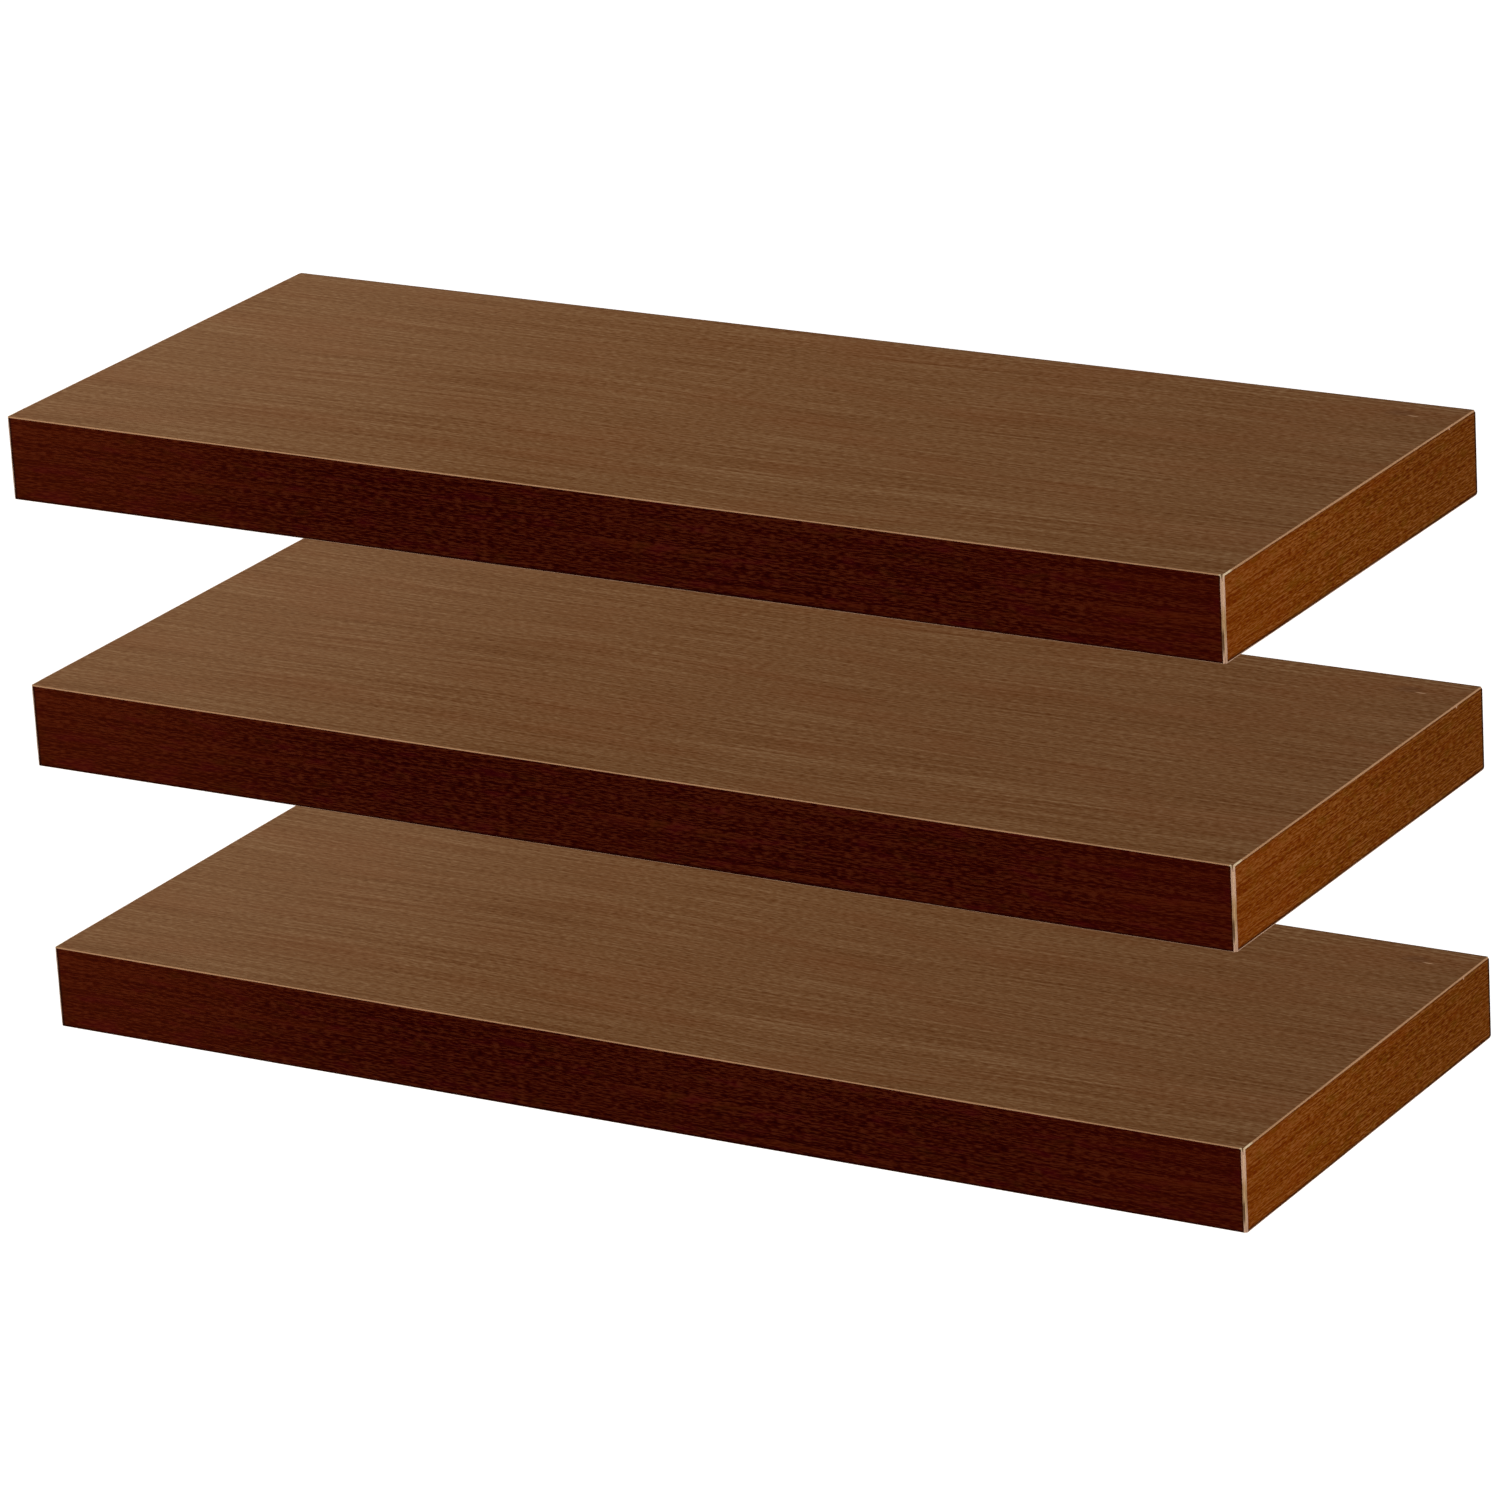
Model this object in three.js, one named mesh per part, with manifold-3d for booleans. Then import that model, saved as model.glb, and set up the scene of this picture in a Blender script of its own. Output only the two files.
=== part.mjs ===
// A set of three floating wall shelves, in millimetres with +Z up.
// Each shelf is a hollow-core board that slides onto two steel rods, which stand out from a rail on the
// wall. The wall is the plane y = 0 and the boards reach out from it to -Y. +X is to the right, seen from
// the room. The origin is on the wall, at the middle of the middle shelf.

import * as THREE from "three";
import { mergeGeometries, mergeVertices } from "three/addons/utils/BufferGeometryUtils.js";
import Module from "manifold-3d";

const wasm = await Module();
wasm.setup();

// The set
const shelfPitch = 125; // from the middle of one board to the middle of the next
const levelShares = { upper: 1, middle: 0, lower: -1 }; // of the pitch, up from the middle shelf

// A board over all
const boardLength = 600;
const boardDepth = 235;
const boardThickness = 38;

// Edge bands, glued on the front and the two ends
const bandThickness = 0.65;
const bandBevel = 0.4; // along the outer top and bottom edges
const bevelMostShare = 0.8; // of the band's thickness, the most that a bevel takes

// Skins and battens
const skinThickness = 3;
const battenWidth = 18;

// Rods, turned from bar
const rodDiameter = 12;
const rodReach = 125; // from the wall to the tip
const rodInset = 140; // from the board's end to the rod's middle
const rodTipChamfer = 1.5;
const rodFit = 0.3; // round the rod, in the bores that take it
const spigotDiameter = 8; // the rod's foot, which goes through the rail
const spigotFit = 0.3; // round the spigot, in the rail
const spigotRecess = 0.3; // from the rail's back to the spigot's end
const weldLeg = 2.5; // of the bead round the foot

// Blocks behind the back batten, bored for the rods
const blockWidth = 50;
const boreRoom = 2; // past the rod's tip
const drillAngle = 118; // of the drill's point, in degrees
const blockEndWall = 9; // past the drill's point
const boreLeadIn = 1.2; // bevel at the mouth of the bore

// Wall rail, folded from sheet
const railSheet = 2;
const railDepth = 8.5; // from the wall to the edges of its flanges
const railInnerBend = 1; // inside radius of the two folds
const railSkinFit = 0.3; // between the rail and each skin
const railBattenFit = 1; // between the flanges and the back batten
const railEndFit = 11.2; // between the rail's end and the end batten
const screwHole = 5.5;
const slotLength = 12; // end to end
const slotToEnd = 30; // from the slot's middle to the rail's end
const holeToRod = 70; // from the round screw hole to the rod beside it

// Paper honeycomb between the skins
const cellWidth = 40; // across a cell along the board, before the cells are spread to fill the bay
const paperThickness = 0.5;
const coreFit = 0.5; // between the honeycomb and the wood round it

// How finely curves are cut into facets
const rodSides = 24; // of the rods and their bores
const holeSides = 16; // of the screw holes
const bendSteps = 4;
const cutOverrun = 1; // of a cutter past the faces that it opens

// Sizes that follow
const coreBoardLength = boardLength - 2 * bandThickness;
const coreBoardDepth = boardDepth - bandThickness;
const coreBoardEnd = coreBoardLength / 2;
const cavityHeight = boardThickness - 2 * skinThickness;
const cavityTop = cavityHeight / 2;
const bayEnd = coreBoardEnd - battenWidth;
const rodPlace = boardLength / 2 - rodInset;
const rodRadius = rodDiameter / 2;
const boreRadius = rodRadius + rodFit;
const spigotRadius = spigotDiameter / 2;
const backBattenBack = railDepth + railBattenFit;
const bayBack = backBattenBack + battenWidth;
const bayFront = coreBoardDepth - battenWidth;
const boreEnd = rodReach + boreRoom;
const drillPoint = boreRadius / Math.tan(THREE.MathUtils.degToRad(drillAngle / 2));
const blockFront = boreEnd + drillPoint + blockEndWall;
const railLength = 2 * (bayEnd - railEndFit);
const railHeight = cavityHeight - 2 * railSkinFit;

// Directions
const xAxis = new THREE.Vector3(1, 0, 0);
const yAxis = new THREE.Vector3(0, 1, 0);
const zAxis = new THREE.Vector3(0, 0, 1);
const intoRoom = yAxis.clone().negate();

// Finishes of what shows, and the usual ones of what is hidden
const finishes = {
  topFoil: { color: "#6e4a2f", roughness: 0.45, metalness: 0 },
  frontFoil: { color: "#350c03", roughness: 0.45, metalness: 0 },
  endFoil: { color: "#6b350c", roughness: 0.45, metalness: 0 },
  softwood: { color: "#cfae7e", roughness: 0.75, metalness: 0 },
  particleboard: { color: "#b8955f", roughness: 0.85, metalness: 0 },
  kraftPaper: { color: "#a9825a", roughness: 0.9, metalness: 0 },
  zincPlate: { color: "#b4b7b8", roughness: 0.4, metalness: 0.9 },
  drawnSteel: { color: "#9a9c9e", roughness: 0.35, metalness: 0.95 },
};

function namedMesh(name, geometry, finish) {
  const mesh = new THREE.Mesh(geometry, new THREE.MeshStandardMaterial(finish));
  mesh.name = name;
  return mesh;
}

// A box between two distances from the middle along X, from the wall along -Y, and from the mid-plane
// along Z
function boxBetween([left, right], [back, front], [bottom, top]) {
  const geometry = new THREE.BoxGeometry(right - left, front - back, top - bottom);
  return geometry.translate((left + right) / 2, -(back + front) / 2, (bottom + top) / 2);
}

// A prism: the shape's own x and y are laid along two directions, and it is extruded along their cross
// product
function prism(shape, along, up, length, curveSegments = bendSteps) {
  const geometry = new THREE.ExtrudeGeometry(shape, { depth: length, bevelEnabled: false, curveSegments });
  const turned = new THREE.Matrix4().makeBasis(along, up, along.clone().cross(up));
  return geometry.applyMatrix4(turned);
}

// Solids, cut and turned back into geometry
function toSolid(geometry) {
  const bare = geometry.clone();
  bare.deleteAttribute("normal");
  bare.deleteAttribute("uv");
  const merged = mergeVertices(bare);
  return new wasm.Manifold(new wasm.Mesh({
    numProp: 3,
    vertProperties: merged.attributes.position.array,
    triVerts: new Uint32Array(merged.index.array),
  }));
}

function toGeometry(solid) {
  const mesh = solid.getMesh();
  const geometry = new THREE.BufferGeometry();
  geometry.setAttribute("position", new THREE.BufferAttribute(mesh.vertProperties, 3));
  geometry.setIndex(new THREE.BufferAttribute(mesh.triVerts, 1));
  return geometry;
}

function cut(geometry, cutters) {
  let solid = toSolid(geometry);
  for (const cutter of cutters) solid = solid.subtract(toSolid(cutter));
  return toGeometry(solid);
}

// The largest body of a cut geometry, without the loose scraps that fall out of it
function withoutScraps(geometry) {
  const corners = geometry.index.array;
  const parent = Array.from({ length: geometry.attributes.position.count }, (_, vertex) => vertex);
  const bodyOf = (vertex) => {
    while (parent[vertex] !== vertex) vertex = parent[vertex];
    return vertex;
  };
  for (let first = 0; first < corners.length; first += 3) {
    const body = bodyOf(corners[first]);
    parent[bodyOf(corners[first + 1])] = body;
    parent[bodyOf(corners[first + 2])] = body;
  }
  const bodies = new Map();
  for (const vertex of corners) {
    const body = bodyOf(vertex);
    if (!bodies.has(body)) bodies.set(body, []);
    bodies.get(body).push(vertex);
  }
  const largest = [...bodies.values()].reduce((best, body) => (body.length > best.length ? body : best));
  geometry.setIndex(largest);
  return geometry;
}

// An edge band along the board's edge, with its outer edges bevelled.
// Its section lies in x, outwards from the core board, and y, up. It runs along z, and a mitred end is cut
// back by as much as a point stands out, so two bands meet in the corner of the core board.
function edgeBand(length, mitreStart, mitreEnd) {
  const bevel = Math.min(bandBevel, bevelMostShare * bandThickness);
  const top = boardThickness / 2;
  const section = new THREE.Shape([
    new THREE.Vector2(0, -top),
    new THREE.Vector2(bandThickness - bevel, -top),
    new THREE.Vector2(bandThickness, -top + bevel),
    new THREE.Vector2(bandThickness, top - bevel),
    new THREE.Vector2(bandThickness - bevel, top),
    new THREE.Vector2(0, top),
  ]);
  const geometry = prism(section, xAxis, yAxis, length);
  const position = geometry.attributes.position;
  for (let vertex = 0; vertex < position.count; vertex++) {
    const atEnd = position.getZ(vertex) > length / 2;
    const out = position.getX(vertex);
    if (atEnd && mitreEnd) position.setZ(vertex, position.getZ(vertex) - out);
    if (!atEnd && mitreStart) position.setZ(vertex, position.getZ(vertex) + out);
  }
  return geometry;
}

function frontBand() {
  const laid = new THREE.Matrix4().makeBasis(intoRoom, zAxis, xAxis.clone().negate());
  const band = edgeBand(coreBoardLength, true, true).applyMatrix4(laid);
  return band.translate(coreBoardEnd, -coreBoardDepth, 0);
}

function endBand() {
  const laid = new THREE.Matrix4().makeBasis(xAxis, zAxis, intoRoom);
  const band = edgeBand(coreBoardDepth, false, true).applyMatrix4(laid);
  return band.translate(coreBoardEnd, 0, 0);
}

// The bore for a rod at x, from in front of the mouth at a given distance from the wall to the drill's point
function boreCutter(x, mouth) {
  const profile = [
    new THREE.Vector2(0, -(boreEnd + drillPoint)),
    new THREE.Vector2(boreRadius, -boreEnd),
    new THREE.Vector2(boreRadius, -(mouth + boreLeadIn)),
    new THREE.Vector2(boreRadius + boreLeadIn + cutOverrun, -mouth + cutOverrun),
    new THREE.Vector2(0, -mouth + cutOverrun),
  ];
  return new THREE.LatheGeometry(profile, rodSides).translate(x, 0, 0);
}

// The batten that the rods enter first, set in from the wall to leave room for the rail
function backBatten() {
  const batten = boxBetween([-bayEnd, bayEnd], [backBattenBack, bayBack], [-cavityTop, cavityTop]);
  return cut(batten, [boreCutter(-rodPlace, backBattenBack), boreCutter(rodPlace, backBattenBack)]);
}

function rodBlock() {
  const sides = [rodPlace - blockWidth / 2, rodPlace + blockWidth / 2];
  const block = boxBetween(sides, [bayBack, blockFront], [-cavityTop, cavityTop]);
  return cut(block, [boreCutter(rodPlace, backBattenBack)]);
}

// One open cell, a regular hexagon less its paper. Neighbouring ribbons are glued together along the two
// sides that lie across the board, so the paper there is double.
function cellHole(cell) {
  const side = cell / Math.sqrt(3);
  const flat = cell / 2 - paperThickness;
  const tip = (cell - paperThickness) / Math.sqrt(3);
  return new THREE.Shape([
    new THREE.Vector2(0, -tip),
    new THREE.Vector2(flat, -side / 2),
    new THREE.Vector2(flat, side / 2),
    new THREE.Vector2(0, tip),
    new THREE.Vector2(-flat, side / 2),
    new THREE.Vector2(-flat, -side / 2),
  ]);
}

// The honeycomb fills the bay and is cut out round the two rod blocks. The rows are counted from the front
// edge, which runs through the middle of the first one.
function honeycombCore() {
  const end = bayEnd - coreFit;
  const back = bayBack + coreFit;
  const front = bayFront - coreFit;
  const cellsAlong = Math.max(1, Math.round((2 * end) / cellWidth));
  const cell = (2 * end) / cellsAlong;
  const rowPitch = (cell * Math.sqrt(3)) / 2;
  const lastRow = Math.ceil((front - back) / rowPitch);
  const hole = cellHole(cell);
  const cutTop = cavityTop + cutOverrun;
  const cutBottom = -cutTop;
  const holes = [];
  for (let row = 0; row <= lastRow; row++) {
    const shift = row % 2 === 0 ? 0 : cell / 2; // every other row is half a cell along
    for (let column = 0; column <= cellsAlong; column++) {
      const x = -end + column * cell + shift;
      const y = row * rowPitch - front;
      const cutter = new THREE.ExtrudeGeometry(hole, { depth: 2 * cutTop, bevelEnabled: false });
      holes.push(cutter.translate(x, y, cutBottom));
    }
  }
  const pockets = [-rodPlace, rodPlace].map((x) => boxBetween(
    [x - blockWidth / 2 - coreFit, x + blockWidth / 2 + coreFit],
    [bayBack - cutOverrun, blockFront + coreFit],
    [cutBottom, cutTop],
  ));
  const slab = boxBetween([-end, end], [back, front], [-cavityTop, cavityTop]);
  return withoutScraps(cut(slab, [mergeGeometries(holes), ...pockets]));
}

// The rail's section: a channel with its web on the wall, open to the room, with folded corners.
// Its own x runs out of the wall towards +Y, so the room is at negative x.
function railSection() {
  const half = railHeight / 2;
  const outer = railInnerBend + railSheet;
  const section = new THREE.Shape();
  section.moveTo(-railDepth, -half);
  section.absarc(-outer, -half + outer, outer, -Math.PI / 2, 0, false);
  section.absarc(-outer, half - outer, outer, 0, Math.PI / 2, false);
  section.lineTo(-railDepth, half);
  section.lineTo(-railDepth, half - railSheet);
  section.absarc(-outer, half - outer, railInnerBend, Math.PI / 2, 0, true);
  section.absarc(-outer, -half + outer, railInnerBend, 0, -Math.PI / 2, true);
  section.lineTo(-railDepth, -half + railSheet);
  return section;
}

// A cutter through the rail's web at x, as long as given and as wide, with round ends
function webCutter(x, length, width, sides) {
  const radius = width / 2;
  const straight = (length - width) / 2;
  const outline = new THREE.Shape();
  outline.absarc(straight, 0, radius, -Math.PI / 2, Math.PI / 2, false);
  outline.absarc(-straight, 0, radius, Math.PI / 2, (Math.PI * 3) / 2, false);
  const cutter = prism(outline, xAxis, zAxis, railSheet + 2 * cutOverrun, sides / 2);
  return cutter.translate(x, cutOverrun, 0);
}

function wallRail() {
  const rail = prism(railSection(), yAxis, zAxis, railLength).translate(-railLength / 2, 0, 0);
  const slotPlace = railLength / 2 - slotToEnd;
  const spigotHole = spigotDiameter + 2 * spigotFit;
  return cut(rail, [-1, 1].flatMap((side) => [
    webCutter(side * slotPlace, slotLength, screwHole, holeSides),
    webCutter(side * (rodPlace - holeToRod), screwHole, screwHole, holeSides),
    webCutter(side * rodPlace, spigotHole, spigotHole, rodSides),
  ]));
}

// A rod, turned about its own Y: bevelled tip, shank, weld bead against the rail's web, spigot
function rod() {
  const profile = [
    new THREE.Vector2(0, -rodReach),
    new THREE.Vector2(rodRadius - rodTipChamfer, -rodReach),
    new THREE.Vector2(rodRadius, -rodReach + rodTipChamfer),
  ];
  for (let step = 0; step <= bendSteps; step++) {
    const angle = ((Math.PI / 2) * step) / bendSteps;
    const out = rodRadius + weldLeg * Math.sin(angle);
    profile.push(new THREE.Vector2(out, -railSheet - weldLeg * Math.cos(angle)));
  }
  profile.push(
    new THREE.Vector2(spigotRadius, -railSheet),
    new THREE.Vector2(spigotRadius, -spigotRecess),
    new THREE.Vector2(0, -spigotRecess),
  );
  return new THREE.LatheGeometry(profile, rodSides);
}

// What the three shelves share
const shapes = {
  skin: boxBetween([-coreBoardEnd, coreBoardEnd], [0, coreBoardDepth], [cavityTop, boardThickness / 2]),
  frontBatten: boxBetween([-bayEnd, bayEnd], [bayFront, coreBoardDepth], [-cavityTop, cavityTop]),
  endBatten: boxBetween([bayEnd, coreBoardEnd], [0, coreBoardDepth], [-cavityTop, cavityTop]),
  backBatten: backBatten(),
  rodBlock: rodBlock(),
  honeycombCore: honeycombCore(),
  frontBand: frontBand(),
  endBand: endBand(),
  wallRail: wallRail(),
  rod: rod(),
};

// What is the same above and below, and what is the same at both ends, is made once and turned over
function shelf(level) {
  const group = new THREE.Group();
  group.add(
    namedMesh(`${level}_front_batten`, shapes.frontBatten, finishes.softwood),
    namedMesh(`${level}_back_batten`, shapes.backBatten, finishes.softwood),
    namedMesh(`${level}_honeycomb_core`, shapes.honeycombCore, finishes.kraftPaper),
    namedMesh(`${level}_front_band`, shapes.frontBand, finishes.frontFoil),
    namedMesh(`${level}_wall_rail`, shapes.wallRail, finishes.zincPlate),
  );
  for (const [face, turn] of [["top", 0], ["bottom", Math.PI]]) {
    const panel = namedMesh(`${level}_${face}_panel`, shapes.skin, finishes.topFoil);
    panel.rotation.y = turn;
    group.add(panel);
  }
  for (const [side, turn] of [["right", 0], ["left", Math.PI]]) {
    const end = new THREE.Group();
    end.add(
      namedMesh(`${level}_${side}_batten`, shapes.endBatten, finishes.softwood),
      namedMesh(`${level}_${side}_rod_block`, shapes.rodBlock, finishes.particleboard),
      namedMesh(`${level}_${side}_band`, shapes.endBand, finishes.endFoil),
    );
    const sideRod = namedMesh(`${level}_${side}_rod`, shapes.rod, finishes.drawnSteel);
    sideRod.position.x = rodPlace;
    end.add(sideRod);
    end.rotation.y = turn;
    group.add(end);
  }
  return group;
}

const shelves = new THREE.Group();
for (const [level, share] of Object.entries(levelShares)) {
  const one = shelf(level);
  one.position.z = share * shelfPitch;
  shelves.add(one);
}

export default shelves;
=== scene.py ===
import math

import bmesh
import bpy
import numpy as np
from mathutils import Matrix, Vector


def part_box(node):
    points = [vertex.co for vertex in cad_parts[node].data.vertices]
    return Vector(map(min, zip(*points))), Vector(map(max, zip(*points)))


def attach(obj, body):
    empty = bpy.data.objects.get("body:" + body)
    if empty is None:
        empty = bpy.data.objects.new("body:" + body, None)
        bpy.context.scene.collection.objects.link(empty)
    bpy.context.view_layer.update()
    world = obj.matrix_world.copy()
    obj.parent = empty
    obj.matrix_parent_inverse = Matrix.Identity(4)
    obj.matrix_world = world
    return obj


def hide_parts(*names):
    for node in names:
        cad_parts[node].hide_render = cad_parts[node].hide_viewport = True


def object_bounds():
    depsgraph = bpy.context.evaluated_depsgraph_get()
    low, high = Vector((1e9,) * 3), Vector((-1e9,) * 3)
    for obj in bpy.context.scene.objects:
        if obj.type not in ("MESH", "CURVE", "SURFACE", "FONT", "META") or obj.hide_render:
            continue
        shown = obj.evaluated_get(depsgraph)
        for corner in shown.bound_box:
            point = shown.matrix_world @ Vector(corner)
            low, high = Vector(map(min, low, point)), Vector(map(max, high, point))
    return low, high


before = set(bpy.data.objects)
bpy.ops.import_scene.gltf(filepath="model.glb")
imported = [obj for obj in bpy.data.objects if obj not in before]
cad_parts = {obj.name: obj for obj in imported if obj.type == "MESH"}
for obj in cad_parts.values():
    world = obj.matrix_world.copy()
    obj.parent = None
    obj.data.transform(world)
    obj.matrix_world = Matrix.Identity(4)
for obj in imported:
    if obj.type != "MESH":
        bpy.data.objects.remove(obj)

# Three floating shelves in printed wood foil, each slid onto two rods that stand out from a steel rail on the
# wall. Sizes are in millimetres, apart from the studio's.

cadLow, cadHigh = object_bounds()
mm = 0.001
levels = ("upper", "middle", "lower")
print("frame loaded,", len(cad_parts), "nodes")


# Helpers for meshes

def boxOf(node):
    # a node's lowest and highest corner
    return [np.array(corner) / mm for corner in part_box(node)]


def pointsAt(*coordinates):
    # an array of points from an array, or one number, for each coordinate
    return np.stack(np.broadcast_arrays(*coordinates), axis=-1)


def wander(along, waves, seed):
    # sum of sines with the given wavelengths and random phases, long waves highest, kept within -1 and 1
    phases = np.random.default_rng(seed).uniform(0, 2 * np.pi, len(waves))
    total = sum(wave * np.sin(2 * np.pi * along / wave + phase) for wave, phase in zip(waves, phases))
    return total / sum(waves)


def edgeDrop(distance, radius):
    # how far a quarter round of this radius lies below its face, at a distance from the edge
    inset = np.clip(radius - distance, 0, radius)
    return radius - np.sqrt(radius ** 2 - inset ** 2)


def evenPlaces(low, high, step):
    return np.linspace(low, high, max(2, int(round((high - low) / step)) + 1))


def quadsBetween(first, second, closed=False):
    # quads between two lines of points, given by their numbers, or between two stacks of such lines
    if closed:
        first, second = (np.concatenate((line, line[..., :1]), axis=-1) for line in (first, second))
    corners = (first[..., :-1], first[..., 1:], second[..., 1:], second[..., :-1])
    return np.stack(corners, axis=-1).reshape(-1, 4)


def bodyBetween(outer, inner, holes=()):
    # A closed body between two grids of the same size, with a strip along each side. A hole leaves out a
    # block of cells on both grids, and rings of points join the block's rim to the hole and run through to
    # the other grid. Returns the points, the outer grid's faces, the inner one's and all that join them.
    rows, columns = outer.shape[:2]
    count = rows * columns
    total = 2 * count
    numbers = np.arange(count).reshape(rows, columns)
    kept = np.ones((rows - 1, columns - 1), bool)
    points = [outer.reshape(-1, 3), inner.reshape(-1, 3)]
    sides = (numbers[0], numbers[-1], numbers[:, 0], numbers[:, -1])
    walls = [quadsBetween(line, line + count) for line in sides]
    for hole in holes:
        (top, bottom), (left, right) = hole["rows"], hole["columns"]
        kept[top:bottom, left:right] = False
        rim = np.concatenate((
            numbers[top, left:right], numbers[top:bottom, right],
            numbers[bottom, right:left:-1], numbers[bottom:top:-1, left],
        ))
        before = rim
        for ring in hole["rings"](points[0][rim], points[1][rim]):
            points.append(ring)
            now = total + np.arange(len(rim))
            walls.append(quadsBetween(before, now, closed=True))
            before, total = now, total + len(rim)
        walls.append(quadsBetween(before, rim + count, closed=True))
    face = quadsBetween(numbers[:-1], numbers[1:])[kept.ravel()]
    return np.concatenate(points), face, face + count, np.concatenate(walls)


def newObject(name, data):
    made = bpy.data.objects.new(name, data)
    bpy.context.scene.collection.objects.link(made)
    return made


def makePiece(name, points, parts, materials, printMap, sharpAngle=32):
    # parts is a list of (faces, number of their material), printMap gives each point's place on its print
    corners = np.concatenate([faces.ravel() for faces, _ in parts])
    sides = np.concatenate([np.full(len(faces), faces.shape[1]) for faces, _ in parts])
    finish = np.concatenate([np.full(len(faces), number) for faces, number in parts])
    mesh = bpy.data.meshes.new(name)
    mesh.vertices.add(len(points))
    mesh.vertices.foreach_set("co", (points * mm).astype(np.float32).ravel())
    mesh.loops.add(len(corners))
    mesh.loops.foreach_set("vertex_index", corners.astype(np.int32))
    mesh.polygons.add(len(sides))
    mesh.polygons.foreach_set("loop_start", (np.cumsum(sides) - sides).astype(np.int32))
    mesh.polygons.foreach_set("loop_total", sides.astype(np.int32))
    mesh.polygons.foreach_set("material_index", finish.astype(np.int32))
    mesh.update(calc_edges=True)
    mesh.validate()
    uvMap = mesh.uv_layers.new(name="print")
    vertexOf = np.zeros(len(mesh.loops), np.int32)
    mesh.loops.foreach_get("vertex_index", vertexOf)
    uvMap.data.foreach_set("uv", (printMap[vertexOf] * mm).astype(np.float32).ravel())
    shape = bmesh.new()
    shape.from_mesh(mesh)
    bmesh.ops.recalc_face_normals(shape, faces=shape.faces)
    shape.to_mesh(mesh)
    shape.free()
    mesh.polygons.foreach_set("use_smooth", np.ones(len(mesh.polygons), bool))
    mesh.set_sharp_from_angle(angle=math.radians(sharpAngle))
    for material in materials:
        mesh.materials.append(material)
    return newObject(name, mesh)


def breakEdges(piece, width, segments, fromAngle):
    # a small bevel along each edge that turns by more than this angle
    bevel = piece.modifiers.new("edges", "BEVEL")
    bevel.width, bevel.segments, bevel.limit_method = width * mm, segments, "ANGLE"
    bevel.angle_limit = math.radians(fromAngle)


# Helpers for materials

def linearColour(code):
    # sRGB hex to the linear colour that Blender's sockets hold
    channels = [int(code[place:place + 2], 16) / 255 for place in (1, 3, 5)]
    return (*[c / 12.92 if c <= 0.04045 else ((c + 0.055) / 1.055) ** 2.4 for c in channels], 1)


def feed(tree, socket, source):
    # what goes into a socket: an output, a node's first output, or a value
    if isinstance(source, bpy.types.Node):
        source = source.outputs[0]
    if isinstance(source, bpy.types.NodeSocket):
        tree.links.new(source, socket)
    else:
        socket.default_value = source


def addNode(tree, kind, sockets=None, **settings):
    node = tree.nodes.new("ShaderNode" + kind)
    for setting, value in settings.items():
        setattr(node, setting, value)
    for socket, source in (sockets or {}).items():
        feed(tree, node.inputs[socket], source)
    return node


def startMaterial(name, shine):
    # a Principled material, with the numbers that are the same all over set on the shader itself
    material = bpy.data.materials.new(name)
    material.use_nodes = True
    tree = material.node_tree
    for socket, value in shine.items():
        feed(tree, tree.nodes["Principled BSDF"].inputs[socket], value)
    return material, tree


def finishMaterial(material, varying, height=None, strength=0, depth=0):
    # links what varies over the surface to the shader, and a relief of this depth where there is a height
    tree = material.node_tree
    if height:
        relief = {"Height": height, "Strength": strength, "Distance": depth * mm}
        varying = {**varying, "Normal": addNode(tree, "Bump", relief)}
    for socket, source in varying.items():
        feed(tree, tree.nodes["Principled BSDF"].inputs[socket], source)
    return material


def inMillimetres(tree, place):
    return addNode(tree, "VectorMath", {0: place, "Scale": 1 / mm}, operation="SCALE")


def objectPlace(tree):
    return inMillimetres(tree, addNode(tree, "TexCoord").outputs["Object"])


def printPlace(tree):
    # along and across the print, as the piece's own map lays it
    return inMillimetres(tree, addNode(tree, "UVMap", uv_map="print"))


def stretchedNoise(tree, place, size, detail):
    # noise whose grains have this size along each axis
    spread = addNode(tree, "VectorMath", {0: place, 1: (*size, 1)[:3]}, operation="DIVIDE")
    return addNode(tree, "TexNoise", {"Vector": spread, "Scale": 1, "Detail": detail})


def colourSteps(tree, factor, steps):
    # a colour ramp from (position, hex colour) pairs
    ramp = addNode(tree, "ValToRGB", {0: factor})
    stops = ramp.color_ramp.elements
    while len(stops) < len(steps):
        stops.new(0.5)
    for stop, (position, code) in zip(stops, steps):
        stop.position, stop.color = position, linearColour(code)
    return ramp


def layTint(tree, colour, pattern, layer, ease="LINEAR"):
    # A tint laid over a colour, from none of it to its share as the pattern goes through the layer's range.
    # The tint is one colour, or a ramp of them along the pattern.
    low, high = layer.get("range", (0, 1))
    amount = addNode(tree, "MapRange", {
        "Value": pattern, "From Min": low, "From Max": high, "To Max": layer.get("share", 1),
    }, interpolation_type=ease)
    tint = layer["tint"]
    over = linearColour(tint) if isinstance(tint, str) else colourSteps(tree, pattern, tint)
    return addNode(tree, "Mix", {0: amount, 6: colour, 7: over}, data_type="RGBA").outputs[2]


def laySpots(tree, colour, place, spots):
    # soft oval spots, each with its middle, half length and half width, and fading over its outer part
    for spot in spots:
        sized = addNode(tree, "Mapping", {
            "Vector": place, "Location": (*spot["at"], 0), "Scale": (*spot["size"], 1),
        }, vector_type="TEXTURE")
        ball = addNode(tree, "TexGradient", {"Vector": sized}, gradient_type="SPHERICAL")
        colour = layTint(tree, colour, ball.outputs[1], {"range": (0, 0.6), **spot}, "SMOOTHSTEP")
    return colour


# Printed foil

foil = {                                       # what the three looks of the one foil share
    "ior": 1.5, "roughnessSwing": 0.05,
    "relief": (0.5, 0.03),                     # strength and depth
}


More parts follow.
